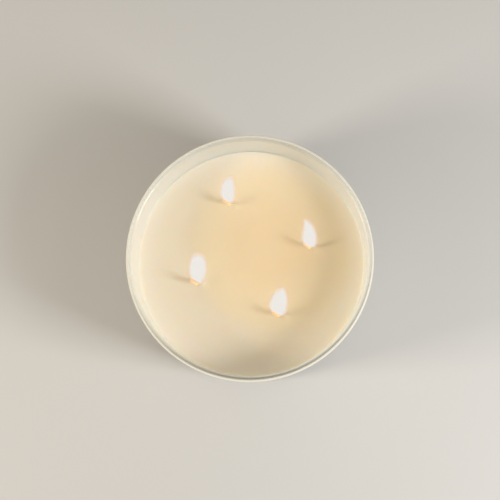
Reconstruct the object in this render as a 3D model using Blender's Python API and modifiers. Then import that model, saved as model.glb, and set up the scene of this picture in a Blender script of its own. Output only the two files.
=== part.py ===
"""Soy candle: four wicks in a round frosted glass tumbler, alight, with a full pool of melted wax.

Metres, +Z up. The origin is the centre of the foot, on the surface that the glass stands on.
"""

import math

import bmesh
import bpy

# Gap left between pieces that touch on the real candle
FIT_GAP = 0.0003

# Glass tumbler
GLASS_DIAMETER = 0.152
GLASS_HEIGHT = 0.102
GLASS_WALL = 0.0036
GLASS_BASE = 0.010  # foot to inner floor
HEEL_RADIUS = 0.007  # outside corner, wall to foot
FLOOR_RADIUS = 0.006  # inside corner, wall to floor
FOOT_WIDTH = 0.010  # flat ring that the glass stands on
PUNT_DEPTH = 0.0016  # shallow recess under the base, inside the foot ring
PUNT_SLOPE = 0.002  # width of the recess's sloping edge

# Wax
WAX_BELOW_RIM = 0.035  # rim down to the surface of the pool
POOL_DEPTH = 0.007

# Wicks
WICK_COUNT = 4
WICK_DIAMETER = 0.0021
WICK_CIRCLE_DIAMETER = 0.0776
WICK_PATTERN_TURN = 21.0  # degrees from +X to the first wick of an even pattern
WICK_DRIFT = ((0.0037, -7.2), (0.0004, -7.1), (-0.0051, 0.2), (0.0010, 11.9))  # out (m), round (deg)
WICK_STANDS_OUT = 0.012  # pool surface to the top of the curl's axis
WICK_LEAN = ((-0.0033, -0.0008), (-0.0037, -0.0018), (-0.0028, -0.0020), (-0.0036, -0.0010))  # x, y at the curl
CURL_RADIUS = 0.0024
CURL_SWEEP = 84.0  # degrees that the tip bends over
CURL_TIP = 0.0022  # straight end past the bend
CURL_HEADING = 150.0  # degrees from +X, the way the tips fall

# Metal tab that holds each wick
TAB_DIAMETER = 0.020
TAB_METAL = 0.0004
NECK_HEIGHT = 0.0045  # above the tab's upper face
NECK_FLARE = 0.0008  # widening of the neck where it meets the tab

# Foam disc under each tab
STICKER_INSET = 0.001  # how far its edge stays inside the tab's
STICKER_THICKNESS = 0.0010

# Paper label under the base
LABEL_MARGIN = 0.012  # bare glass round it, inside the recess
LABEL_THICKNESS = 0.00025

# Facets
VESSEL_STEPS = 72
SMALL_STEPS = 24
LEAN_STEPS = 6
SMOOTH_BELOW = 35.0  # degrees
WELD_DISTANCE = 0.00001

# Heights and radii that follow from the sizes above
OUTER_RADIUS = GLASS_DIAMETER / 2
INNER_RADIUS = OUTER_RADIUS - GLASS_WALL
PUNT_RADIUS = OUTER_RADIUS - HEEL_RADIUS - FOOT_WIDTH
WAX_RADIUS = INNER_RADIUS - FIT_GAP
POOL_TOP = GLASS_HEIGHT - WAX_BELOW_RIM
POOL_BOTTOM = POOL_TOP - POOL_DEPTH
WAX_TOP = POOL_BOTTOM - FIT_GAP
WAX_BOTTOM = GLASS_BASE + FIT_GAP
STICKER_BOTTOM = GLASS_BASE + FIT_GAP
STICKER_TOP = STICKER_BOTTOM + STICKER_THICKNESS
TAB_BOTTOM = STICKER_TOP + FIT_GAP
TAB_TOP = TAB_BOTTOM + TAB_METAL
NECK_TOP = TAB_TOP + NECK_HEIGHT
WICK_RADIUS = WICK_DIAMETER / 2
BORE_RADIUS = WICK_RADIUS + FIT_GAP
NECK_RADIUS = BORE_RADIUS + TAB_METAL
LABEL_TOP = PUNT_DEPTH - FIT_GAP
LABEL_BOTTOM = LABEL_TOP - LABEL_THICKNESS


def clear_scene():
    for item in list(bpy.data.objects):
        bpy.data.objects.remove(item, do_unlink=True)


def make_collection(name):
    collection = bpy.data.collections.new(name)
    bpy.context.scene.collection.children.link(collection)
    return collection


def make_material(name, colour, roughness, metallic=0.0, transmission=0.0):
    material = bpy.data.materials.new(name)
    material.use_nodes = True
    shader = material.node_tree.nodes["Principled BSDF"]
    shader.inputs["Base Color"].default_value = (*colour, 1.0)
    shader.inputs["Roughness"].default_value = roughness
    shader.inputs["Metallic"].default_value = metallic
    shader.inputs["Transmission Weight"].default_value = transmission
    material.diffuse_color = (*colour, 1.0)
    return material


def arc(centre_r, centre_z, radius, start, end, steps):
    """Points (r, z) along an arc in the profile plane, angles in degrees from +r towards +z."""
    points = []
    for i in range(steps + 1):
        angle = math.radians(start + (end - start) * i / steps)
        points.append((centre_r + radius * math.cos(angle), centre_z + radius * math.sin(angle)))
    return points


def turn(name, profile, steps, collection, closed=False):
    """A piece turned about +Z from a profile of (r, z) points that runs down its outer side."""
    mesh = bpy.data.meshes.new(name)
    edges = [(i, i + 1) for i in range(len(profile) - 1)]
    if closed:
        edges.append((len(profile) - 1, 0))
    mesh.from_pydata([(r, 0.0, z) for r, z in profile], edges, [])
    piece = bpy.data.objects.new(name, mesh)
    collection.objects.link(piece)
    screw = piece.modifiers.new("turn", "SCREW")
    screw.axis = "Z"
    screw.angle = math.tau
    screw.steps = steps
    screw.render_steps = steps
    screw.use_merge_vertices = True
    screw.merge_threshold = WELD_DISTANCE
    screw.use_smooth_shade = True
    return piece


def drill(piece, cutters):
    for cutter in cutters:
        cut = piece.modifiers.new("cut", "BOOLEAN")
        cut.operation = "DIFFERENCE"
        cut.solver = "EXACT"
        cut.object = cutter


def settle(piece, material):
    """Fixes the modifiers into the mesh, shades its round faces smooth and gives it its material."""
    bpy.context.view_layer.update()
    evaluated = piece.evaluated_get(bpy.context.evaluated_depsgraph_get())
    mesh = bpy.data.meshes.new_from_object(evaluated)
    mesh.name = piece.name
    piece.modifiers.clear()
    piece.data = mesh
    mesh.shade_smooth()
    mesh.set_sharp_from_angle(angle=math.radians(SMOOTH_BELOW))
    mesh.materials.clear()
    mesh.materials.append(material)
    return piece


def wick_places():
    """Each wick's (x, y), on an even pattern with its own small drift."""
    places = []
    for i in range(WICK_COUNT):
        out, round_by = WICK_DRIFT[i % len(WICK_DRIFT)]
        angle = math.radians(WICK_PATTERN_TURN + 360.0 * i / WICK_COUNT + round_by)
        radius = WICK_CIRCLE_DIAMETER / 2 + out
        places.append((radius * math.cos(angle), radius * math.sin(angle)))
    return places


def glass_profile():
    """Inner floor, up the inner wall, over the round lip, down the outside and under the base."""
    lip = GLASS_WALL / 2
    profile = [(0.0, GLASS_BASE)]
    profile += arc(INNER_RADIUS - FLOOR_RADIUS, GLASS_BASE + FLOOR_RADIUS, FLOOR_RADIUS, -90, 0, 6)
    profile += arc(OUTER_RADIUS - lip, GLASS_HEIGHT - lip, lip, 180, 0, 10)
    profile += arc(OUTER_RADIUS - HEEL_RADIUS, HEEL_RADIUS, HEEL_RADIUS, 0, -90, 7)
    profile += [(PUNT_RADIUS, 0.0), (PUNT_RADIUS - PUNT_SLOPE, PUNT_DEPTH), (0.0, PUNT_DEPTH)]
    return profile


def wax_profile():
    corner = max(FLOOR_RADIUS - FIT_GAP, FIT_GAP)
    profile = [(0.0, WAX_TOP), (WAX_RADIUS, WAX_TOP)]
    profile += arc(WAX_RADIUS - corner, WAX_BOTTOM + corner, corner, 0, -90, 6)
    profile += [(0.0, WAX_BOTTOM)]
    return profile


def disc_profile(radius, bottom, top):
    return [(0.0, top), (radius, top), (radius, bottom), (0.0, bottom)]


def tab_profile():
    """Thin disc with a flared neck round the wick: up the bore, then down the outside."""
    edge = TAB_DIAMETER / 2
    return [
        (BORE_RADIUS, TAB_BOTTOM),
        (BORE_RADIUS, NECK_TOP),
        (NECK_RADIUS, NECK_TOP),
        (NECK_RADIUS, TAB_TOP + NECK_FLARE),
        (NECK_RADIUS + NECK_FLARE, TAB_TOP),
        (edge, TAB_TOP),
        (edge, TAB_BOTTOM),
    ]


def pocket_profile():
    """Space that a wick, its tab and its sticker take in the wax, open above and below."""
    above = POOL_TOP + POOL_DEPTH
    below = GLASS_BASE - STICKER_THICKNESS
    neck = NECK_RADIUS + FIT_GAP
    tab = TAB_DIAMETER / 2 + FIT_GAP
    return [
        (0.0, above),
        (BORE_RADIUS, above),
        (BORE_RADIUS, NECK_TOP + FIT_GAP),
        (neck, NECK_TOP + FIT_GAP),
        (neck, TAB_TOP + NECK_FLARE + FIT_GAP),
        (neck + NECK_FLARE, TAB_TOP + FIT_GAP),
        (tab, TAB_TOP + FIT_GAP),
        (tab, below),
        (0.0, below),
    ]


def wick_path(lean):
    """Points up the wick, over its lean and round its curled tip, from the foot of its axis at z = 0."""
    curl_start = POOL_TOP + WICK_STANDS_OUT - CURL_RADIUS
    points = [(0.0, 0.0, TAB_BOTTOM), (0.0, 0.0, NECK_TOP), (0.0, 0.0, POOL_TOP)]
    for i in range(1, LEAN_STEPS + 1):
        share = i / LEAN_STEPS
        leant = share * share * (3 - 2 * share)
        points.append((lean[0] * leant, lean[1] * leant, POOL_TOP + (curl_start - POOL_TOP) * share))
    curl = arc(CURL_RADIUS, curl_start, CURL_RADIUS, 180, 180 - CURL_SWEEP, 7)
    lift = math.radians(90 - CURL_SWEEP)
    last_along, last_height = curl[-1]
    curl.append((last_along + CURL_TIP * math.cos(lift), last_height + CURL_TIP * math.sin(lift)))
    heading = math.radians(CURL_HEADING)
    for along, height in curl[1:]:
        points.append((lean[0] + along * math.cos(heading), lean[1] + along * math.sin(heading), height))
    return points


def make_wick(name, place, lean, collection):
    curve = bpy.data.curves.new(name, "CURVE")
    curve.dimensions = "3D"
    curve.bevel_depth = WICK_RADIUS
    curve.bevel_resolution = 2
    curve.use_fill_caps = True
    path = wick_path(lean)
    spline = curve.splines.new("POLY")
    spline.points.add(len(path) - 1)
    for point, spot in zip(spline.points, path):
        point.co = (*spot, 1.0)
    line = bpy.data.objects.new(name + "_line", curve)
    line.location = (*place, 0.0)
    collection.objects.link(line)
    return weld_curve(line, name, collection)


def weld_curve(line, name, collection):
    """Turns a bevelled curve into one closed mesh, its caps welded on."""
    bpy.context.view_layer.update()
    evaluated = line.evaluated_get(bpy.context.evaluated_depsgraph_get())
    mesh = bpy.data.meshes.new_from_object(evaluated)
    mesh.name = name
    work = bmesh.new()
    work.from_mesh(mesh)
    bmesh.ops.remove_doubles(work, verts=work.verts, dist=WELD_DISTANCE)
    work.to_mesh(mesh)
    work.free()
    piece = bpy.data.objects.new(name, mesh)
    piece.matrix_world = line.matrix_world.copy()
    collection.objects.link(piece)
    bpy.data.objects.remove(line, do_unlink=True)
    return piece


def make_pockets(places, collection):
    """One cutter for each wick, hidden, for the wax and the pool."""
    cutters = []
    for i, place in enumerate(places, start=1):
        cutter = turn(f"pocket_cutter_{i}", pocket_profile(), SMALL_STEPS, collection)
        cutter.location = (*place, 0.0)
        cutter.hide_render = True
        cutter.display_type = "WIRE"
        cutters.append(cutter)
    return cutters


def main():
    clear_scene()
    candle = make_collection("soy_candle")
    cutter_box = make_collection("cutters")

    glass = make_material("frosted glass", (0.90, 0.91, 0.87), 0.45, transmission=0.6)
    wax = make_material("soy wax", (0.87, 0.74, 0.52), 0.55)
    melted = make_material("melted soy wax", (0.88, 0.70, 0.43), 0.12)
    cotton = make_material("waxed cotton braid", (0.80, 0.74, 0.62), 0.85)
    tin = make_material("tinned steel", (0.72, 0.72, 0.70), 0.32, metallic=1.0)
    foam = make_material("adhesive foam", (0.85, 0.85, 0.82), 0.9)
    paper = make_material("label paper", (0.88, 0.87, 0.84), 0.7)

    places = wick_places()
    pockets = make_pockets(places, cutter_box)

    settle(turn("glass_vessel", glass_profile(), VESSEL_STEPS, candle), glass)

    wax_fill = turn("wax_fill", wax_profile(), VESSEL_STEPS, candle)
    drill(wax_fill, pockets)
    settle(wax_fill, wax)

    pool = turn("melt_pool", disc_profile(WAX_RADIUS, POOL_BOTTOM, POOL_TOP), VESSEL_STEPS, candle)
    drill(pool, pockets)
    settle(pool, melted)

    for i, place in enumerate(places, start=1):
        lean = WICK_LEAN[(i - 1) % len(WICK_LEAN)]
        settle(make_wick(f"wick_{i}", place, lean, candle), cotton)
        tab = turn(f"wick_sustainer_{i}", tab_profile(), SMALL_STEPS, candle, closed=True)
        tab.location = (*place, 0.0)
        settle(tab, tin)
        sticker_profile = disc_profile(TAB_DIAMETER / 2 - STICKER_INSET, STICKER_BOTTOM, STICKER_TOP)
        sticker = turn(f"wick_sticker_{i}", sticker_profile, SMALL_STEPS, candle)
        sticker.location = (*place, 0.0)
        settle(sticker, foam)

    label_radius = PUNT_RADIUS - PUNT_SLOPE - LABEL_MARGIN
    label_profile = disc_profile(label_radius, LABEL_BOTTOM, LABEL_TOP)
    settle(turn("base_label", label_profile, VESSEL_STEPS, candle), paper)


main()
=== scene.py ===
# Soy candle, alight: four braided wicks in a frosted glass tumbler with a full pool of melted wax.
import math

import bmesh
import bpy
from mathutils import Matrix, Vector, noise


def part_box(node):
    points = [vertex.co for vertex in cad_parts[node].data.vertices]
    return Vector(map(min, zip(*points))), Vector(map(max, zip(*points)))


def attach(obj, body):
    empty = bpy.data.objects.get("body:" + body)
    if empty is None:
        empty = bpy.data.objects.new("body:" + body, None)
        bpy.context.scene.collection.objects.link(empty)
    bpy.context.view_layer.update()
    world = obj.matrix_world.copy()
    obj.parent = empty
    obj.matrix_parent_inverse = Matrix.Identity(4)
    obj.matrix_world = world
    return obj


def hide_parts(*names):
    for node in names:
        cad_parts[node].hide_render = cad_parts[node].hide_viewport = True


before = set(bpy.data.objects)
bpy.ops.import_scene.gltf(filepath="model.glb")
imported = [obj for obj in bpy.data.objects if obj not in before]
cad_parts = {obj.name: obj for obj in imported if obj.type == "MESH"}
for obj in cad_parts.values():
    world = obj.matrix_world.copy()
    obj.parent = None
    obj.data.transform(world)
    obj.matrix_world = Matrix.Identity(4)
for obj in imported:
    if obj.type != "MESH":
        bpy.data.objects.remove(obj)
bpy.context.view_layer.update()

rootBody = "root"
mm = 0.001


# sRGB hex to the linear RGBA that shaders take
def colour(code):
    parts = [int(code[i:i + 2], 16) / 255 for i in (1, 3, 5)]
    linear = [p / 12.92 if p <= 0.04045 else ((p + 0.055) / 1.055) ** 2.4 for p in parts]
    return (*linear, 1.0)


# adds a node: inputs holds values or sockets to link, the keywords are the node's own settings
def addNode(tree, kind, inputs=None, **settings):
    made = tree.nodes.new(kind)
    for key, value in settings.items():
        setattr(made, key, value)
    for key, value in (inputs or {}).items():
        if isinstance(value, bpy.types.NodeSocket):
            tree.links.new(value, made.inputs[key])
        else:
            made.inputs[key].default_value = value
    return made


# how many times a pattern of this size in millimetres repeats in a metre
def perMetre(size):
    return 1.0 / (size * mm)


# fills a colour ramp from pairs of position and sRGB hex, in order
def setRamp(node, stops):
    elements = node.color_ramp.elements
    elements.remove(elements[1])
    for position, code in stops[1:]:
        elements.new(position).color = colour(code)
    elements[0].position, elements[0].color = stops[0][0], colour(stops[0][1])


def newMaterial(name):
    material = bpy.data.materials.new(name)
    material.use_nodes = True
    return material, material.node_tree


def linkIn(item):
    bpy.context.scene.collection.objects.link(item)
    return item


def smoothMesh(mesh, sharpAngle=None):
    mesh.shade_smooth()
    if sharpAngle is not None:
        mesh.set_sharp_from_angle(angle=math.radians(sharpAngle))


# Sizes read from the frame

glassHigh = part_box("glass_vessel")[1]
poolLow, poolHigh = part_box("melt_pool")
waxLow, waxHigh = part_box("wax_fill")
fitGap = poolLow.z - waxHigh.z
outerRadius = glassHigh.x
glassHeight = glassHigh.z
innerRadius = poolHigh.x + fitGap
glassFloor = waxLow.z - fitGap
poolTop = poolHigh.z
print("frame: rim", round(2 * outerRadius, 4), "height", round(glassHeight, 4), "pool at", round(poolTop, 4))


# Camera

cameraPlace = {
    "position": (0.0181, -0.0748, 0.7945),
    "target": (0.0003, 0.0044, 0.102),
    "lens": 82.0,
}


# image up is +Y, so the picture keeps its turn although the camera stands a little to one side
def makeCamera(place):
    data = bpy.data.cameras.new("camera")
    data.lens = place["lens"]
    data.clip_start = 0.01
    camera = linkIn(bpy.data.objects.new("camera", data))
    position = Vector(place["position"])
    ahead = (Vector(place["target"]) - position).normalized()
    right = ahead.cross(Vector((0, 1, 0))).normalized()
    up = right.cross(ahead)
    turn = Matrix((right, up, -ahead)).transposed()
    camera.matrix_world = Matrix.Translation(position) @ turn.to_4x4()
    bpy.context.scene.camera = camera


makeCamera(cameraPlace)
print("camera ready")


# Stage and light

stage = {
    "floorSize": 6.0,
    "floorColour": "#c5c4c3",
    "worldColour": "#fff6e6",
    "worldStrength": 0.385,
}

# each lamp: heading and height in degrees from the candle, distance and size in metres, power in watts
lamps = {
    "window": {"heading": -22, "height": 38, "distance": 0.95, "size": (0.25, 0.42),
               "power": 7.25, "colour": "#feffff"},
    "reflector": {"heading": 195, "height": 32, "distance": 0.95, "size": (0.20, 0.30),
                  "power": 4.7, "colour": "#fff5e5"},
}


def makeFloor():
    half = stage["floorSize"] / 2
    mesh = bpy.data.meshes.new("floor")
    corners = [(-half, -half, 0), (half, -half, 0), (half, half, 0), (-half, half, 0)]
    mesh.from_pydata(corners, [], [(0, 1, 2, 3)])
    material, tree = newMaterial("matt painted board")
    shader = tree.nodes["Principled BSDF"]
    shader.inputs["Base Color"].default_value = colour(stage["floorColour"])
    shader.inputs["Roughness"].default_value = 0.6
    mesh.materials.append(material)
    floor = linkIn(bpy.data.objects.new("floor", mesh))


def makeWorld():
    world = bpy.data.worlds.new("soft room")
    world.use_nodes = True
    background = world.node_tree.nodes["Background"]
    background.inputs["Color"].default_value = colour(stage["worldColour"])
    background.inputs["Strength"].default_value = stage["worldStrength"]
    bpy.context.scene.world = world


def makeLamps():
    target = Vector((0, 0, poolTop))
    for name, lamp in lamps.items():
        data = bpy.data.lights.new(name, "AREA")
        data.shape = "RECTANGLE"
        data.size, data.size_y = lamp["size"]
        data.energy = lamp["power"]
        data.color = colour(lamp["colour"])[:3]
        item = linkIn(bpy.data.objects.new(name, data))
        heading, height = math.radians(lamp["heading"]), math.radians(lamp["height"])
        level = Vector((math.cos(heading), math.sin(heading), 0.0))
        away = level * math.cos(height) + Vector((0.0, 0.0, math.sin(height)))
        item.location = target + away * lamp["distance"]
        item.rotation_mode = "QUATERNION"
        item.rotation_quaternion = away.to_track_quat("Z", "Y")


makeFloor()
makeWorld()
makeLamps()
bpy.context.scene.view_settings.view_transform = "Standard"
print("stage and lamps ready")


# Materials

# the sprayed frost: how far in from the outer wall, and below the floor inside, it begins and is full
frostCoat = {
    "wallFade": (2.1 * mm, 0.7 * mm),
    "footFade": (2.0 * mm, 4.0 * mm),
    "cloudSize": 25,  # millimetres
    "cover": (0.91, 0.98),  # least and most
    "direct": 0.08,  # share of the window light that passes it unscattered
    "through": 0.48,  # share of the rest that comes through, where the others are thrown back
}


# soda-lime glass, polished inside and on the lip, frosted outside: soft cream walls and a faintly green lip
def glassMaterial():
    material, tree = newMaterial("frosted soda-lime glass")
    shader, output = tree.nodes["Principled BSDF"], tree.nodes["Material Output"]
    shader.inputs["Base Color"].default_value = colour("#ffffff")
    shader.inputs["Transmission Weight"].default_value = 1.0
    shader.inputs["IOR"].default_value = 1.52
    place = addNode(tree, "ShaderNodeTexCoord").outputs["Object"]
    # slow waves left by the mould, about 18 mm apart
    waves = addNode(tree, "ShaderNodeTexNoise", {"Vector": place, "Scale": perMetre(18), "Detail": 1.0})
    bump = addNode(tree, "ShaderNodeBump", {
        "Strength": 0.03, "Distance": 0.3 * mm, "Height": waves.outputs["Fac"]})
    tree.links.new(bump.outputs["Normal"], shader.inputs["Normal"])
    # a film of wax and handling dulls it, in patches about 9 mm wide
    film = addNode(tree, "ShaderNodeTexNoise", {"Vector": place, "Scale": perMetre(9), "Detail": 2.0})
    rough = addNode(tree, "ShaderNodeMapRange", {
        "Value": film.outputs["Fac"], "To Min": 0.15, "To Max": 0.21})
    tree.links.new(rough.outputs["Result"], shader.inputs["Roughness"])
    tint = addNode(tree, "ShaderNodeVolumeAbsorption", {"Color": colour("#c4c6bd"), "Density": 15.0})
    tree.links.new(tint.outputs["Volume"], output.inputs["Volume"])
    # light on its way from lamps and room goes straight through
    path = addNode(tree, "ShaderNodeLightPath")
    lighting = addNode(tree, "ShaderNodeMath", {
        0: path.outputs["Is Shadow Ray"], 1: path.outputs["Is Diffuse Ray"]}, operation="MAXIMUM")
    clear = addNode(tree, "ShaderNodeBsdfTransparent", {"Color": colour("#fdfefc")})
    polished = addNode(tree, "ShaderNodeMixShader", {
        0: lighting.outputs["Value"], 1: shader.outputs["BSDF"], 2: clear.outputs["BSDF"]})
    # the frost: from the outer shoulder of the lip down the wall and under the foot
    flat = addNode(tree, "ShaderNodeVectorMath", {0: place, 1: (1.0, 1.0, 0.0)}, operation="MULTIPLY")
    reach = addNode(tree, "ShaderNodeVectorMath", {0: flat.outputs["Vector"]}, operation="LENGTH")
    height = addNode(tree, "ShaderNodeSeparateXYZ", {"Vector": place}).outputs["Z"]
    wallStart, wallFull = [outerRadius - depth for depth in frostCoat["wallFade"]]
    footStart, footFull = [glassFloor - depth for depth in frostCoat["footFade"]]
    outside = addNode(tree, "ShaderNodeMapRange", {
        "Value": reach.outputs["Value"], "From Min": wallStart, "From Max": wallFull})
    under = addNode(tree, "ShaderNodeMapRange", {
        "Value": height, "From Min": footStart, "From Max": footFull})
    skin = addNode(tree, "ShaderNodeMath", {0: outside.outputs["Result"], 1: under.outputs["Result"]},
                   operation="MAXIMUM")
    clouds = addNode(tree, "ShaderNodeTexNoise", {
        "Vector": place, "Scale": perMetre(frostCoat["cloudSize"]), "Detail": 3.0})
    thin, thick = frostCoat["cover"]
    cover = addNode(tree, "ShaderNodeMapRange", {
        "Value": clouds.outputs["Fac"], "To Min": thin, "To Max": thick})
    scattered = addNode(tree, "ShaderNodeMapRange", {
        "Value": path.outputs["Is Shadow Ray"], "To Min": 1.0, "To Max": 1.0 - frostCoat["direct"]})
    coated = addNode(tree, "ShaderNodeMath", {0: skin.outputs["Value"], 1: cover.outputs["Result"]},
                     operation="MULTIPLY")
    amount = addNode(tree, "ShaderNodeMath", {0: coated.outputs["Value"], 1: scattered.outputs["Result"]},
                     operation="MULTIPLY")
    back = addNode(tree, "ShaderNodeBsdfDiffuse", {"Color": colour("#faf9f5")})
    glow = addNode(tree, "ShaderNodeBsdfTranslucent", {"Color": colour("#f6f4ec")})
    frost = addNode(tree, "ShaderNodeMixShader", {
        0: frostCoat["through"], 1: back.outputs["BSDF"], 2: glow.outputs["BSDF"]})
    mix = addNode(tree, "ShaderNodeMixShader", {
        0: amount.outputs["Value"], 1: polished.outputs["Shader"], 2: frost.outputs["Shader"]})
    tree.links.new(mix.outputs["Shader"], output.inputs["Surface"])
    return material


# light goes millimetres deep into soy wax, red furthest, so that shadows on it are soft
waxDepth = 4.5 * mm


def makeWaxy(shader):
    shader.inputs["Subsurface Weight"].default_value = 1.0
    shader.inputs["Subsurface Radius"].default_value = (1.0, 0.75, 0.5)
    shader.inputs["Subsurface Scale"].default_value = waxDepth
    shader.inputs["IOR"].default_value = 1.44


# soy wax set hard against the glass: cream, satin, with the pale bloom that soy wax grows
def waxMaterial():
    material, tree = newMaterial("set soy wax")
    shader = tree.nodes["Principled BSDF"]
    place = addNode(tree, "ShaderNodeTexCoord").outputs["Object"]
    bloom = addNode(tree, "ShaderNodeTexNoise", {
        "Vector": place, "Scale": perMetre(11), "Detail": 6.0, "Roughness": 0.62, "Distortion": 0.4})
    tone = addNode(tree, "ShaderNodeValToRGB", {"Fac": bloom.outputs["Fac"]})
    setRamp(tone, ((0.36, "#e0d2b4"), (0.66, "#e6ddc8")))
    tree.links.new(tone.outputs["Color"], shader.inputs["Base Color"])
    makeWaxy(shader)
    shine = addNode(tree, "ShaderNodeMapRange", {
        "Value": bloom.outputs["Fac"], "To Min": 0.34, "To Max": 0.62})
    tree.links.new(shine.outputs["Result"], shader.inputs["Roughness"])
    # fine crystals, drawn at 1.2 mm so that they show
    grain = addNode(tree, "ShaderNodeTexNoise", {"Vector": place, "Scale": perMetre(1.2), "Detail": 3.0})
    bump = addNode(tree, "ShaderNodeBump", {
        "Strength": 0.15, "Distance": 0.1 * mm, "Height": grain.outputs["Fac"]})
    tree.links.new(bump.outputs["Normal"], shader.inputs["Normal"])
    return material


# how the tone of the melt changes outwards: warm in the middle, partly for the deeper melt and partly as
# painted warm light from the four flames
meltDepthAndGlowTone = {
    "middle": (12 * mm, 10 * mm, 0.0),  # it is deepest a little to one side
    "driftSize": 40,  # millimetres
    "drift": 18 * mm,  # added in part or whole to the distance from the middle, so that the tones wander
    "warmUpTo": 26 * mm,
    "paleFrom": 90 * mm,
    "shallowWidth": 12 * mm,  # near the glass the pale wax below shows through
    "shallowFull": 1 * mm,
    "shallowShare": 0.45,
}


# melted soy wax: a clear gold liquid over the cream, deepest between the wicks, where its warmer tone is
# partly painted light from the flames
def poolMaterial():
    material, tree = newMaterial("melted soy wax")
    shader = tree.nodes["Principled BSDF"]
    place = addNode(tree, "ShaderNodeTexCoord").outputs["Object"]
    aside = addNode(tree, "ShaderNodeVectorMath", {0: place, 1: meltDepthAndGlowTone["middle"]}, operation="SUBTRACT")
    flat = addNode(tree, "ShaderNodeVectorMath", {0: aside.outputs["Vector"], 1: (1.0, 1.0, 0.0)},
                   operation="MULTIPLY")
    reach = addNode(tree, "ShaderNodeVectorMath", {0: flat.outputs["Vector"]}, operation="LENGTH")
    drift = addNode(tree, "ShaderNodeTexNoise", {
        "Vector": place, "Scale": perMetre(meltDepthAndGlowTone["driftSize"]), "Detail": 2.0})
    moved = addNode(tree, "ShaderNodeMath", {
        0: drift.outputs["Fac"], 1: meltDepthAndGlowTone["drift"], 2: reach.outputs["Value"]}, operation="MULTIPLY_ADD")
    share = addNode(tree, "ShaderNodeMapRange", {
        "Value": moved.outputs["Value"], "From Min": meltDepthAndGlowTone["warmUpTo"], "From Max": meltDepthAndGlowTone["paleFrom"]})
    # painted flame light: the warm end of this ramp stands partly for the flames' warm light on the pool and
    # partly for the deeper melt
    tone = addNode(tree, "ShaderNodeValToRGB", {"Fac": share.outputs["Result"]})
    setRamp(tone, ((0.0, "#e2ceac"), (0.42, "#e7d7b9"), (0.66, "#ebdfca"), (1.0, "#ece1d1")))
    fromAxis = addNode(tree, "ShaderNodeVectorMath", {0: place, 1: (1.0, 1.0, 0.0)}, operation="MULTIPLY")
    radius = addNode(tree, "ShaderNodeVectorMath", {0: fromAxis.outputs["Vector"]}, operation="LENGTH")
    shallow = addNode(tree, "ShaderNodeMapRange", {
        "Value": radius.outputs["Value"], "From Min": innerRadius - meltDepthAndGlowTone["shallowWidth"],
        "From Max": innerRadius - meltDepthAndGlowTone["shallowFull"], "To Max": meltDepthAndGlowTone["shallowShare"]})
    edged = addNode(tree, "ShaderNodeMix", {
        "Factor": shallow.outputs["Result"], "A": tone.outputs["Color"], "B": colour("#efe8dc")},
        data_type="RGBA")
    tree.links.new(edged.outputs["Result"], shader.inputs["Base Color"])
    makeWaxy(shader)
    # liquid is smooth, with a skin a little duller where it starts to set
    skin = addNode(tree, "ShaderNodeTexNoise", {"Vector": place, "Scale": perMetre(15), "Detail": 3.0})
    shine = addNode(tree, "ShaderNodeMapRange", {
        "Value": skin.outputs["Fac"], "To Min": 0.10, "To Max": 0.24})
    tree.links.new(shine.outputs["Result"], shader.inputs["Roughness"])
    return material


# bleached cotton plait: cream where it is soaked in wax, amber where it is hot, its end alight
def wickMaterial():
    material, tree = newMaterial("waxed cotton plait")
    shader = tree.nodes["Principled BSDF"]
    along = addNode(tree, "ShaderNodeAttribute", attribute_name="fromTip")
    place = addNode(tree, "ShaderNodeTexCoord").outputs["Object"]
    fray = addNode(tree, "ShaderNodeTexNoise", {"Vector": place, "Scale": perMetre(0.7), "Detail": 3.0})
    ragged = addNode(tree, "ShaderNodeMath", {0: fray.outputs["Fac"], 1: 1.6 * mm, 2: along.outputs["Fac"]},
                     operation="MULTIPLY_ADD")
    share = addNode(tree, "ShaderNodeMapRange", {"Value": ragged.outputs["Value"], "From Max": 10.5 * mm})
    tone = addNode(tree, "ShaderNodeValToRGB", {"Fac": share.outputs["Result"]})
    setRamp(tone, ((0.48, "#6b4c31"), (0.60, "#b08c60"), (0.74, "#d4be94"), (1.0, "#dccba6")))
    tree.links.new(tone.outputs["Color"], shader.inputs["Base Color"])
    shader.inputs["Roughness"].default_value = 0.85
    # spun fibres, drawn as coarse as 0.15 mm so that they show
    fibre = addNode(tree, "ShaderNodeTexNoise", {"Vector": place, "Scale": perMetre(0.15), "Detail": 2.0})
    bump = addNode(tree, "ShaderNodeBump", {
        "Strength": 0.6, "Distance": 0.08 * mm, "Height": fibre.outputs["Fac"]})
    tree.links.new(bump.outputs["Normal"], shader.inputs["Normal"])
    # the glowing end: orange at the tip and paler behind it; further back, a dim painted light fills the
    # shade on the wick's lower stretch, and it is out before it reaches the pool
    glow = addNode(tree, "ShaderNodeValToRGB", {"Fac": share.outputs["Result"]})
    setRamp(glow, ((0.10, "#f4bd84"), (0.30, "#f9cb96"), (0.52, "#fbd2a4"),
                   (0.66, "#c79d78"), (0.80, "#775c43"), (0.94, "#000000")))
    tree.links.new(glow.outputs["Color"], shader.inputs["Emission Color"])
    shader.inputs["Emission Strength"].default_value = 1.0
    return material


# burning wax vapour: a near-white heart, orange only where it leaves the wick
def flameCoreMaterial():
    material, tree = newMaterial("candle flame heart")
    rise = addNode(tree, "ShaderNodeAttribute", attribute_name="rise")
    tone = addNode(tree, "ShaderNodeValToRGB", {"Fac": rise.outputs["Fac"]})
    setRamp(tone, ((0.0, "#f6b877"), (0.02, "#f5dcb8"), (0.06, "#e3eae9"),
                   (0.85, "#e3eae9"), (1.0, "#e6ebe6")))
    light = addNode(tree, "ShaderNodeEmission", {"Color": tone.outputs["Color"], "Strength": 1.0})
    tree.links.new(light.outputs["Emission"], tree.nodes["Material Output"].inputs["Surface"])
    return material


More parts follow.
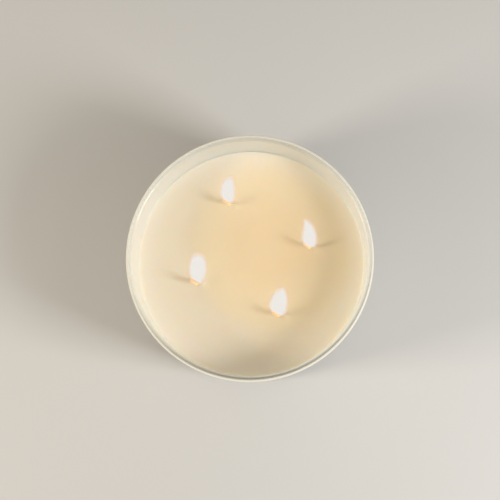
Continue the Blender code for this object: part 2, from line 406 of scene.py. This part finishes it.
# one thin shell of the flame round its heart: partly clear, and pinker further out, so that its edge is soft
def flameMantleMaterial(name, code, share):
    material, tree = newMaterial(name)
    light = addNode(tree, "ShaderNodeEmission", {"Color": colour(code), "Strength": 1.0})
    clear = addNode(tree, "ShaderNodeBsdfTransparent")
    mix = addNode(tree, "ShaderNodeMixShader", {
        0: share, 1: clear.outputs["BSDF"], 2: light.outputs["Emission"]})
    tree.links.new(mix.outputs["Shader"], tree.nodes["Material Output"].inputs["Surface"])
    return material


# tinplate stamped into a tab: bright grey, satin, with rolled lines
def tinMaterial():
    material, tree = newMaterial("stamped tinplate")
    shader = tree.nodes["Principled BSDF"]
    place = addNode(tree, "ShaderNodeTexCoord").outputs["Object"]
    rolled = addNode(tree, "ShaderNodeMapping", {"Vector": place, "Scale": (1.0, 14.0, 1.0)})
    lines = addNode(tree, "ShaderNodeTexNoise", {
        "Vector": rolled.outputs["Vector"], "Scale": perMetre(4), "Detail": 4.0})
    shine = addNode(tree, "ShaderNodeMapRange", {
        "Value": lines.outputs["Fac"], "To Min": 0.28, "To Max": 0.44})
    tree.links.new(shine.outputs["Result"], shader.inputs["Roughness"])
    grey = addNode(tree, "ShaderNodeMix", {
        "Factor": lines.outputs["Fac"], "A": colour("#c9c9c4"), "B": colour("#dcdbd6")}, data_type="RGBA")
    tree.links.new(grey.outputs["Result"], shader.inputs["Base Color"])
    shader.inputs["Metallic"].default_value = 1.0
    return material


# closed-cell foam with glue on both faces: dull white, faintly pitted
def foamMaterial():
    material, tree = newMaterial("glued polyethylene foam")
    shader = tree.nodes["Principled BSDF"]
    place = addNode(tree, "ShaderNodeTexCoord").outputs["Object"]
    cells = addNode(tree, "ShaderNodeTexVoronoi", {"Vector": place, "Scale": perMetre(0.5)})
    tone = addNode(tree, "ShaderNodeMix", {
        "Factor": cells.outputs["Distance"], "A": colour("#e9e8e2"), "B": colour("#f4f3ee")},
        data_type="RGBA")
    tree.links.new(tone.outputs["Result"], shader.inputs["Base Color"])
    shader.inputs["Roughness"].default_value = 0.85
    bump = addNode(tree, "ShaderNodeBump", {
        "Strength": 0.4, "Distance": 0.1 * mm, "Height": cells.outputs["Distance"]})
    tree.links.new(bump.outputs["Normal"], shader.inputs["Normal"])
    return material


# uncoated label paper: soft white, with felt marks and a few fibres
def paperMaterial():
    material, tree = newMaterial("uncoated label paper")
    shader = tree.nodes["Principled BSDF"]
    place = addNode(tree, "ShaderNodeTexCoord").outputs["Object"]
    felt = addNode(tree, "ShaderNodeTexNoise", {"Vector": place, "Scale": perMetre(2.5), "Detail": 6.0})
    tone = addNode(tree, "ShaderNodeMix", {
        "Factor": felt.outputs["Fac"], "A": colour("#ebe7dd"), "B": colour("#f6f3ea")}, data_type="RGBA")
    tree.links.new(tone.outputs["Result"], shader.inputs["Base Color"])
    shader.inputs["Roughness"].default_value = 0.75
    bump = addNode(tree, "ShaderNodeBump", {
        "Strength": 0.25, "Distance": 0.05 * mm, "Height": felt.outputs["Fac"]})
    tree.links.new(bump.outputs["Normal"], shader.inputs["Normal"])
    return material


frostedGlass = glassMaterial()
setWax = waxMaterial()
meltedWax = poolMaterial()
cottonPlait = wickMaterial()
flameHeart = flameCoreMaterial()
tinplate = tinMaterial()
foam = foamMaterial()
labelPaper = paperMaterial()
print("materials ready")


# Geometry Nodes trees

# a socket of a tree's interface, with its first value
def treeInput(tree, name, kind, value=None):
    socket = tree.interface.new_socket(name, in_out="INPUT", socket_type=kind)
    if value is not None:
        socket.default_value = value


def newTree(name):
    tree = bpy.data.node_groups.new(name, "GeometryNodeTree")
    treeInput(tree, "Geometry", "NodeSocketGeometry")
    tree.interface.new_socket("Geometry", in_out="OUTPUT", socket_type="NodeSocketGeometry")
    return tree


# smooth shading, real geometry in place of instances, and the material: how every tree here ends
def endTree(tree, geometry, material):
    smooth = addNode(tree, "GeometryNodeSetShadeSmooth", {"Geometry": geometry})
    real = addNode(tree, "GeometryNodeRealizeInstances", {"Geometry": smooth.outputs["Geometry"]})
    painted = addNode(tree, "GeometryNodeSetMaterial", {
        "Geometry": real.outputs["Geometry"], "Material": material})
    addNode(tree, "NodeGroupOutput", {"Geometry": painted.outputs["Geometry"]})


# turns the profile line that it is given about +Z
def turnedTree():
    tree = newTree("turned piece")
    treeInput(tree, "Segments", "NodeSocketInt", 192)
    treeInput(tree, "Hub Radius", "NodeSocketFloat", 10 * mm)
    treeInput(tree, "Weld Distance", "NodeSocketFloat", 0.01 * mm)
    treeInput(tree, "Material", "NodeSocketMaterial")
    given = addNode(tree, "NodeGroupInput").outputs
    profile = addNode(tree, "GeometryNodeMeshToCurve", {"Mesh": given["Geometry"]})
    rail = addNode(tree, "GeometryNodeCurvePrimitiveCircle", {
        "Resolution": given["Segments"], "Radius": given["Hub Radius"]})
    upright = addNode(tree, "GeometryNodeSetCurveNormal", {"Curve": rail.outputs["Curve"]}, mode="Z_UP")
    swept = addNode(tree, "GeometryNodeCurveToMesh", {
        "Curve": upright.outputs["Curve"], "Profile Curve": profile.outputs["Curve"]})
    welded = addNode(tree, "GeometryNodeMergeByDistance", {
        "Geometry": swept.outputs["Mesh"], "Distance": given["Weld Distance"]})
    endTree(tree, welded.outputs["Geometry"], given["Material"])
    return tree


# plaits round strands along the line that it is given, and stores each point's distance from the line's end
def plaitTree():
    tree = newTree("plaited cord")
    treeInput(tree, "Strands", "NodeSocketInt", 3)
    treeInput(tree, "Strand Sides", "NodeSocketInt", 7)
    treeInput(tree, "Strand Radius", "NodeSocketFloat", 0.45 * mm)
    treeInput(tree, "Half Width", "NodeSocketFloat", 0.8 * mm)
    treeInput(tree, "Half Depth", "NodeSocketFloat", 0.38 * mm)
    treeInput(tree, "Pitch", "NodeSocketFloat", 5.0 * mm)
    treeInput(tree, "Step", "NodeSocketFloat", 0.3 * mm)
    treeInput(tree, "Broad Way", "NodeSocketVector", (1.0, 0.0, 0.0))
    treeInput(tree, "Material", "NodeSocketMaterial")
    given = addNode(tree, "NodeGroupInput").outputs
    line = addNode(tree, "GeometryNodeMeshToCurve", {"Mesh": given["Geometry"]})
    even = addNode(tree, "GeometryNodeResampleCurve", {
        "Curve": line.outputs["Curve"], "Length": given["Step"]}, mode="LENGTH")
    strands = addNode(tree, "GeometryNodeDuplicateElements", {
        "Geometry": even.outputs["Curve"], "Amount": given["Strands"]}, domain="SPLINE")
    # each strand runs a share of a turn behind the one before
    length = addNode(tree, "GeometryNodeSplineParameter").outputs["Length"]
    turns = addNode(tree, "ShaderNodeMath", {0: length, 1: given["Pitch"]}, operation="DIVIDE")
    behind = addNode(tree, "ShaderNodeMath", {
        0: strands.outputs["Duplicate Index"], 1: given["Strands"]}, operation="DIVIDE")
    both = addNode(tree, "ShaderNodeMath", {0: turns.outputs[0], 1: behind.outputs[0]}, operation="ADD")
    angle = addNode(tree, "ShaderNodeMath", {0: both.outputs[0], 1: math.tau}, operation="MULTIPLY")
    double = addNode(tree, "ShaderNodeMath", {0: angle.outputs[0], 1: 2.0}, operation="MULTIPLY")
    aside = addNode(tree, "ShaderNodeMath", {0: angle.outputs[0]}, operation="COSINE")
    over = addNode(tree, "ShaderNodeMath", {0: double.outputs[0]}, operation="SINE")
    asideBy = addNode(tree, "ShaderNodeMath", {
        0: aside.outputs[0], 1: given["Half Width"]}, operation="MULTIPLY")
    overBy = addNode(tree, "ShaderNodeMath", {
        0: over.outputs[0], 1: given["Half Depth"]}, operation="MULTIPLY")
    tangent = addNode(tree, "GeometryNodeInputTangent").outputs["Tangent"]
    deep = addNode(tree, "ShaderNodeVectorMath", {0: tangent, 1: given["Broad Way"]},
                   operation="CROSS_PRODUCT")
    wideOffset = addNode(tree, "ShaderNodeVectorMath", {0: given["Broad Way"], "Scale": asideBy.outputs[0]},
                         operation="SCALE")
    deepOffset = addNode(tree, "ShaderNodeVectorMath", {0: deep.outputs[0], "Scale": overBy.outputs[0]},
                         operation="SCALE")
    offset = addNode(tree, "ShaderNodeVectorMath", {0: wideOffset.outputs[0], 1: deepOffset.outputs[0]},
                     operation="ADD")
    whole = addNode(tree, "GeometryNodeSplineLength").outputs["Length"]
    left = addNode(tree, "ShaderNodeMath", {0: whole, 1: length}, operation="SUBTRACT")
    marked = addNode(tree, "GeometryNodeStoreNamedAttribute", {
        "Geometry": strands.outputs["Geometry"], "Name": "fromTip", "Value": left.outputs[0]},
        data_type="FLOAT", domain="POINT")
    plaited = addNode(tree, "GeometryNodeSetPosition", {
        "Geometry": marked.outputs["Geometry"], "Offset": offset.outputs[0]})
    ring = addNode(tree, "GeometryNodeCurvePrimitiveCircle", {
        "Resolution": given["Strand Sides"], "Radius": given["Strand Radius"]})
    tubes = addNode(tree, "GeometryNodeCurveToMesh", {
        "Curve": plaited.outputs["Geometry"], "Profile Curve": ring.outputs["Curve"], "Fill Caps": True})
    endTree(tree, tubes.outputs["Mesh"], given["Material"])
    return tree


# runs a tree on a line of points and keeps the result as a plain mesh
def growAlong(name, points, tree, values):
    line = bpy.data.meshes.new(name + "_line")
    line.from_pydata(points, [(i, i + 1) for i in range(len(points) - 1)], [])
    host = linkIn(bpy.data.objects.new(name + "_line", line))
    grower = host.modifiers.new("grower", "NODES")
    grower.node_group = tree
    for socket in tree.interface.items_tree:
        if socket.in_out == "INPUT" and socket.name in values:
            grower[socket.identifier] = values[socket.name]
    host.update_tag()
    graph = bpy.context.evaluated_depsgraph_get()
    grown = host.evaluated_get(graph)
    mesh = bpy.data.meshes.new_from_object(grown, preserve_all_data_layers=True, depsgraph=graph)
    mesh.name = name
    bpy.data.objects.remove(host, do_unlink=True)
    return linkIn(bpy.data.objects.new(name, mesh))


# turns faces outwards on a closed mesh
def faceOut(mesh):
    work = bmesh.new()
    work.from_mesh(mesh)
    bmesh.ops.recalc_face_normals(work, faces=work.faces)
    if work.calc_volume(signed=True) < 0:
        bmesh.ops.reverse_faces(work, faces=work.faces)
    work.to_mesh(mesh)
    work.free()


def replaceNode(piece, node):
    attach(piece, rootBody)
    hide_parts(node)


turnedPiece = turnedTree()
plaitedCord = plaitTree()
print("node trees ready")


# Glass tumbler

tumbler = {
    "heel": 7.0 * mm,  # outside corner, wall to foot
    "floorCorner": 6.0 * mm,  # inside corner, wall to floor
    "lipCorner": 1.1 * mm,
    "lipArc": 80,  # degrees of that corner, before the dome takes over
    "lipDome": 0.12 * mm,
    "footWidth": 10.0 * mm,
    "puntDepth": 1.6 * mm,
    "puntSlope": 2.0 * mm,
    "puntArc": 40,  # degrees
    "puntSteps": 4,
    "hub": 10 * mm,  # radius of the circle that the profile is swept along
    "segments": 640,
    "arcSteps": 14,
    "sharpAngle": 50,
}


def arcPoints(centreR, centreZ, radius, start, end, steps):
    angles = [math.radians(start + (end - start) * i / steps) for i in range(steps + 1)]
    return [(centreR + radius * math.cos(a), centreZ + radius * math.sin(a)) for a in angles]


# inner floor, up the inside, over the fire-polished lip, down the outside and under the base
def tumblerProfile(size):
    lip, dome, lipArc = size["lipCorner"], size["lipDome"], size["lipArc"]
    punt, slope, turned = outerRadius - size["heel"] - size["footWidth"], size["puntSlope"], size["puntArc"]
    inside, heel, steps = size["floorCorner"], size["heel"], size["arcSteps"]
    profile = [(0.0, glassFloor)]
    profile += arcPoints(innerRadius - inside, glassFloor + inside, inside, -90, 0, steps)
    profile += arcPoints(innerRadius + lip, glassHeight - dome - lip, lip, 180, 180 - lipArc, steps)
    profile.append(((innerRadius + outerRadius) / 2, glassHeight))
    profile += arcPoints(outerRadius - lip, glassHeight - dome - lip, lip, lipArc, 0, steps)
    profile += arcPoints(outerRadius - heel, heel, heel, 0, -90, steps)
    profile += arcPoints(punt, slope, slope, -90, -90 - turned, size["puntSteps"])
    profile += [(punt - 2 * slope, size["puntDepth"]), (0.0, size["puntDepth"])]
    return profile


def makeTumbler(size):
    points = [(r - size["hub"], -z, 0.0) for r, z in tumblerProfile(size)]
    glass = growAlong("glass_tumbler", points, turnedPiece, {
        "Segments": size["segments"], "Hub Radius": size["hub"], "Material": frostedGlass})
    faceOut(glass.data)
    smoothMesh(glass.data, size["sharpAngle"])
    replaceNode(glass, "glass_vessel")
    return glass


glassTumbler = makeTumbler(tumbler)
print("glass tumbler:", len(glassTumbler.data.polygons), "faces")


# Wicks

wickSize = {
    "radius": 1.05 * mm,
    "heading": 150.0,  # degrees, the way the tips fall
    "curlRadius": 2.4 * mm,
    "curlSweep": 84.0,
    "tip": 2.2 * mm,
    # x and y in millimetres from the foot to where the curl starts, so that each tip lies under its flame
    "lean": {"wick_1": (-3.9, -1.3), "wick_2": (-4.1, -1.4), "wick_3": (-2.8, -2.0), "wick_4": (-4.1, -0.9)},
    "leanSteps": 12,
    "curlSteps": 16,
    "plait": {"Strands": 3, "Strand Radius": 0.38 * mm, "Half Width": 0.64 * mm, "Half Depth": 0.29 * mm,
              "Pitch": 4.4 * mm, "Step": 0.25 * mm},
}
wickNodes = ["wick_1", "wick_2", "wick_3", "wick_4"]


# a wick stands in the middle of its metal tab
def wickFoot(node):
    low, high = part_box(node.replace("wick", "wick_sustainer"))
    return Vector(((low.x + high.x) / 2, (low.y + high.y) / 2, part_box(node)[0].z))


# where the curl starts, above the pool and aside from the foot
def curlStart(node):
    curl, sweep = wickSize["curlRadius"], math.radians(wickSize["curlSweep"])
    curlTop = curl * math.sin(sweep) + wickSize["tip"] * math.cos(sweep)
    # the end of the tube stands square to its last stretch
    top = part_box(node)[1].z - wickSize["radius"] * math.sin(sweep)
    return Vector((*(wickFeet[node] + Vector((*wickSize["lean"][node], 0)) * mm).xy, top - curlTop))


# points up the wick, over its lean and round its curl
def wickLine(node):
    foot, start = wickFeet[node], curlStart(node)
    heading = math.radians(wickSize["heading"])
    way = Vector((math.cos(heading), math.sin(heading), 0))
    points = [foot, Vector((foot.x, foot.y, (foot.z + poolTop) / 2))]
    for i in range(wickSize["leanSteps"]):
        share = i / wickSize["leanSteps"]
        leant = share * share * (3 - 2 * share)
        spot = foot.lerp(start, leant)
        spot.z = poolTop + (start.z - poolTop) * share
        points.append(spot)
    curl, sweep = wickSize["curlRadius"], wickSize["curlSweep"]
    for along, height in arcPoints(curl, 0.0, curl, 180, 180 - sweep, wickSize["curlSteps"]):
        points.append(start + way * along + Vector((0, 0, height)))
    lift = math.radians(90 - sweep)
    end = Vector((0, 0, 1)) * math.sin(lift) + way * math.cos(lift)
    points.append(points[-1] + end * wickSize["tip"])
    return points


def makeWick(node):
    heading = math.radians(wickSize["heading"])
    values = dict(wickSize["plait"], Material=cottonPlait)
    values["Broad Way"] = (-math.sin(heading), math.cos(heading), 0.0)
    wick = growAlong(node + "_plait", [tuple(p) for p in wickLine(node)], plaitedCord, values)
    replaceNode(wick, node)
    return wick


wickFeet = {node: wickFoot(node) for node in wickNodes}
for node in wickNodes:
    made = makeWick(node)
print("wicks:", len(made.data.polygons), "faces each")


# Wax and pool

wax = {
    "bedded": 0.05 * mm,  # how far the wax reaches into the glass, so that no air shows between
    "poolEdge": 6.2 * mm,  # depth of the pool where it meets the glass
    "edgeWander": 0.7 * mm,  # how far that line rises and falls
    "wanderSize": 30 * mm,
    "wallRise": 0.6 * mm,  # meniscus at the glass
    "wickRise": 0.8 * mm,  # and at each wick
    "fadeLength": 1.5 * mm,
    "segments": 256,
    "rings": 90,
    "ringCrowd": 1.35,  # rings crowd towards the wall, where the surface climbs
    "cornerSteps": 12,
    "sharpAngle": 40,
}


# height of the line between pool and set wax, going round the wall
def poolLine(angle):
    spot = Vector((math.cos(angle), math.sin(angle), 0.3)) * (innerRadius / wax["wanderSize"])
    return poolTop - wax["poolEdge"] + wax["edgeWander"] * noise.noise(spot)


def poolHeight(x, y):
    reach = math.hypot(x, y)
    height = poolTop + wax["wallRise"] * math.exp(-(innerRadius - reach) / wax["fadeLength"])
    for foot in wickFeet.values():
        gap = max(math.hypot(x - foot.x, y - foot.y) - wickSize["radius"], 0.0)
        height += wax["wickRise"] * math.exp(-gap / wax["fadeLength"])
    return height


# a solid of revolution with free heights: rows is a list of (radius, height function of x, y, angle)
def roundSolid(name, rows, segments, material):
    mesh = bpy.data.meshes.new(name)
    spots = []
    for radius, heightAt in rows:
        count = 1 if radius == 0.0 else segments
        for i in range(count):
            angle = math.tau * i / segments
            x, y = radius * math.cos(angle), radius * math.sin(angle)
            spots.append((x, y, heightAt(x, y, angle)))
    faces, start = [], 0
    for above, below in zip(rows, rows[1:]):
        count = 1 if above[0] == 0.0 else segments
        after = start + count
        for i in range(segments):
            j = (i + 1) % segments
            if above[0] == 0.0:
                faces.append((start, after + i, after + j))
            elif below[0] == 0.0:
                faces.append((start + j, start + i, after))
            else:
                faces.append((start + i, after + i, after + j, start + j))
        start = after
    mesh.from_pydata(spots, [], faces)
    mesh.materials.append(material)
    faceOut(mesh)
    smoothMesh(mesh, wax["sharpAngle"])
    return linkIn(bpy.data.objects.new(name, mesh))


def makePool():
    edge = innerRadius + wax["bedded"]
    shares = [1 - (1 - i / wax["rings"]) ** wax["ringCrowd"] for i in range(wax["rings"] + 1)]
    rows = [(edge * share, lambda x, y, angle: poolHeight(x, y)) for share in shares]
    rows += [(edge, lambda x, y, angle: poolLine(angle)), (0.0, lambda x, y, angle: poolLow.z)]
    return roundSolid("melted_wax", rows, wax["segments"], meltedWax)


def makeWax():
    edge, bottom = innerRadius + wax["bedded"], glassFloor - wax["bedded"]
    corner = tumbler["floorCorner"]
    rows = [(0.0, lambda x, y, angle: poolLow.z), (edge, lambda x, y, angle: poolLine(angle))]
    for radius, height in arcPoints(edge - corner, bottom + corner, corner, 0, -90, wax["cornerSteps"]):
        rows.append((radius, lambda x, y, angle, height=height: height))
    rows.append((0.0, lambda x, y, angle: bottom))
    return roundSolid("set_wax", rows, wax["segments"], setWax)


replaceNode(makePool(), "melt_pool")
replaceNode(makeWax(), "wax_fill")
print("wax and pool ready")


# Flames

# in millimetres: start is counted from the middle of the glowing curl, reach goes from there to the tip, and
# root is half the length of glowing wick that feeds the flame; belly and point are the growth below and the
# taper above the widest part
flames = {
    "wick_1": {"start": (1.6, 0.0), "reach": (-3.2, 12.5), "width": 3.15, "root": 1.7,
               "belly": 0.47, "point": 1.20, "sway": 1.85, "bend": 1.55},
    "wick_2": {"start": (0.92, 0.77), "reach": (2.85, 10.0), "width": 3.3, "root": 2.0,
               "belly": 0.63, "point": 0.82, "sway": -1.1, "bend": 1.45},
    "wick_3": {"start": (1.58, 0.47), "reach": (2.4, 12.0), "width": 4.25, "root": 2.75,
               "belly": 0.83, "point": 0.58, "sway": 0.55, "bend": 1.5},
    "wick_4": {"start": (0.8, 0.5), "reach": (3.6, 12.8), "width": 3.6, "root": 3.1,
               "belly": 0.66, "point": 0.88, "sway": -0.1, "bend": 1.25},
}
flameShape = {
    "height": 21.5 * mm,
    "curlMiddle": 2.2 * mm,  # from where the curl starts
    "belowCurl": 1.25 * mm,
    "heartSwell": -0.35 * mm,  # the heart is this much smaller than the flame
    # thin shells from the heart outwards: how much bigger than the flame, colour, and share of the light
    "mantles": {
        "a": (0.05 * mm, "#ebf0ea", 0.42),
        "b": (0.45 * mm, "#f4eae2", 0.28),
        "c": (0.95 * mm, "#fde3d4", 0.13),
        "d": (1.6 * mm, "#fddccb", 0.06),
    },
    "rings": 44,
    "ringCrowd": 1.4,  # rings crowd towards the wick
    "sides": 32,
    "endShare": 0.125,  # of the height, over which a shell's growth fades at each end
    "tangentStep": 0.005,
    "lampShare": 0.45,  # of the height, where the flame's lamp hangs
}


# a bent drop of burning vapour, long and narrow where it leaves the curl and round higher up; each point
# keeps its share of the height as "rise"
def makeFlame(name, node, spec, swell, material):
    heading = math.radians(wickSize["heading"])
    curl = Vector((math.cos(heading), math.sin(heading), 0))
    up, right = Vector((0, 0, 1)), Vector((1, 0, 0))
    base = curlStart(node) + curl * flameShape["curlMiddle"] + Vector((*spec["start"], 0)) * mm
    base.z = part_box(node)[1].z - flameShape["belowCurl"] - swell
    reach = Vector((*spec["reach"], 0)) * mm
    reach += reach.normalized() * swell
    climb = flameShape["height"] + 2 * swell
    belly, point = spec["belly"], spec["point"]
    fullest = (belly / (belly + point)) ** belly * (point / (belly + point)) ** point

    def centre(share):
        share = min(max(share, 0.0), 1.0)
        return (base + reach * (1 - (1 - share) ** spec["bend"]) + up * climb * share
                + right * spec["sway"] * mm * math.sin(math.pi * share))

    rings, sides, step, end = [flameShape[key] for key in ("rings", "sides", "tangentStep", "endShare")]
    spots, rises = [tuple(base)], [0.0]
    for i in range(1, rings):
        share = (i / rings) ** flameShape["ringCrowd"]
        ahead = (centre(share + step) - centre(share - step)).normalized()
        side = ahead.cross(Vector((0, 1, 0))).normalized()
        front = side.cross(ahead)
        radius = spec["width"] * mm * share ** belly * (1 - share) ** point / fullest
        radius += swell * min(share / end, 1.0, (1 - share) / end)
        drawn = (spec["root"] * mm + swell) * (1 - share) ** 2
        curlAngle = math.atan2(front.dot(curl), side.dot(curl))
        for k in range(sides):
            angle = math.tau * k / sides
            spot = centre(share) + side * radius * math.cos(angle) + front * radius * math.sin(angle)
            spots.append(tuple(spot + curl * drawn * math.cos(angle - curlAngle)))
            rises.append(share)
    spots.append(tuple(centre(1.0)))
    rises.append(1.0)
    faces = [(0, 1 + (k + 1) % sides, 1 + k) for k in range(sides)]
    for i in range(rings - 2):
        for k in range(sides):
            a, b = 1 + i * sides + k, 1 + i * sides + (k + 1) % sides
            faces.append((a, b, b + sides, a + sides))
    last = len(spots) - 1
    faces += [(last, last - sides + k, last - sides + (k + 1) % sides) for k in range(sides)]
    mesh = bpy.data.meshes.new(name)
    mesh.from_pydata(spots, [], faces)
    mesh.attributes.new("rise", "FLOAT", "POINT").data.foreach_set("value", rises)
    mesh.materials.append(material)
    faceOut(mesh)
    smoothMesh(mesh)
    flame = linkIn(bpy.data.objects.new(name, mesh))
    flame.visible_shadow = False  # a flame casts no shadow
    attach(flame, rootBody)
    return centre(flameShape["lampShare"])


flameShells = {letter: flameMantleMaterial("candle flame mantle " + letter, code, share)
               for letter, (swell, code, share) in flameShape["mantles"].items()}
flameLamp = {"power": 0.0006, "radius": 3 * mm, "colour": "#ffe2bc"}

for node, spec in flames.items():
    number = node[-1]
    heart = makeFlame("flame_heart_" + number, node, spec, flameShape["heartSwell"], flameHeart)
    for letter, shell in flameShape["mantles"].items():
        makeFlame("flame_mantle_" + number + letter, node, spec, shell[0], flameShells[letter])
    data = bpy.data.lights.new("flame_light_" + number, "POINT")
    data.energy = flameLamp["power"]
    data.shadow_soft_size = flameLamp["radius"]
    data.color = colour(flameLamp["colour"])[:3]
    glow = linkIn(bpy.data.objects.new("flame_light_" + number, data))
    glow.location = heart
print("flames ready")


# Tabs, stickers and label keep their solids and get their finish

for name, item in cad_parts.items():
    finish = None
    if name.startswith("wick_sustainer"):
        finish = tinplate
    elif name.startswith("wick_sticker"):
        finish = foam
    elif name == "base_label":
        finish = labelPaper
    if finish:
        item.data.materials.clear()
        item.data.materials.append(finish)
print("inner pieces ready")
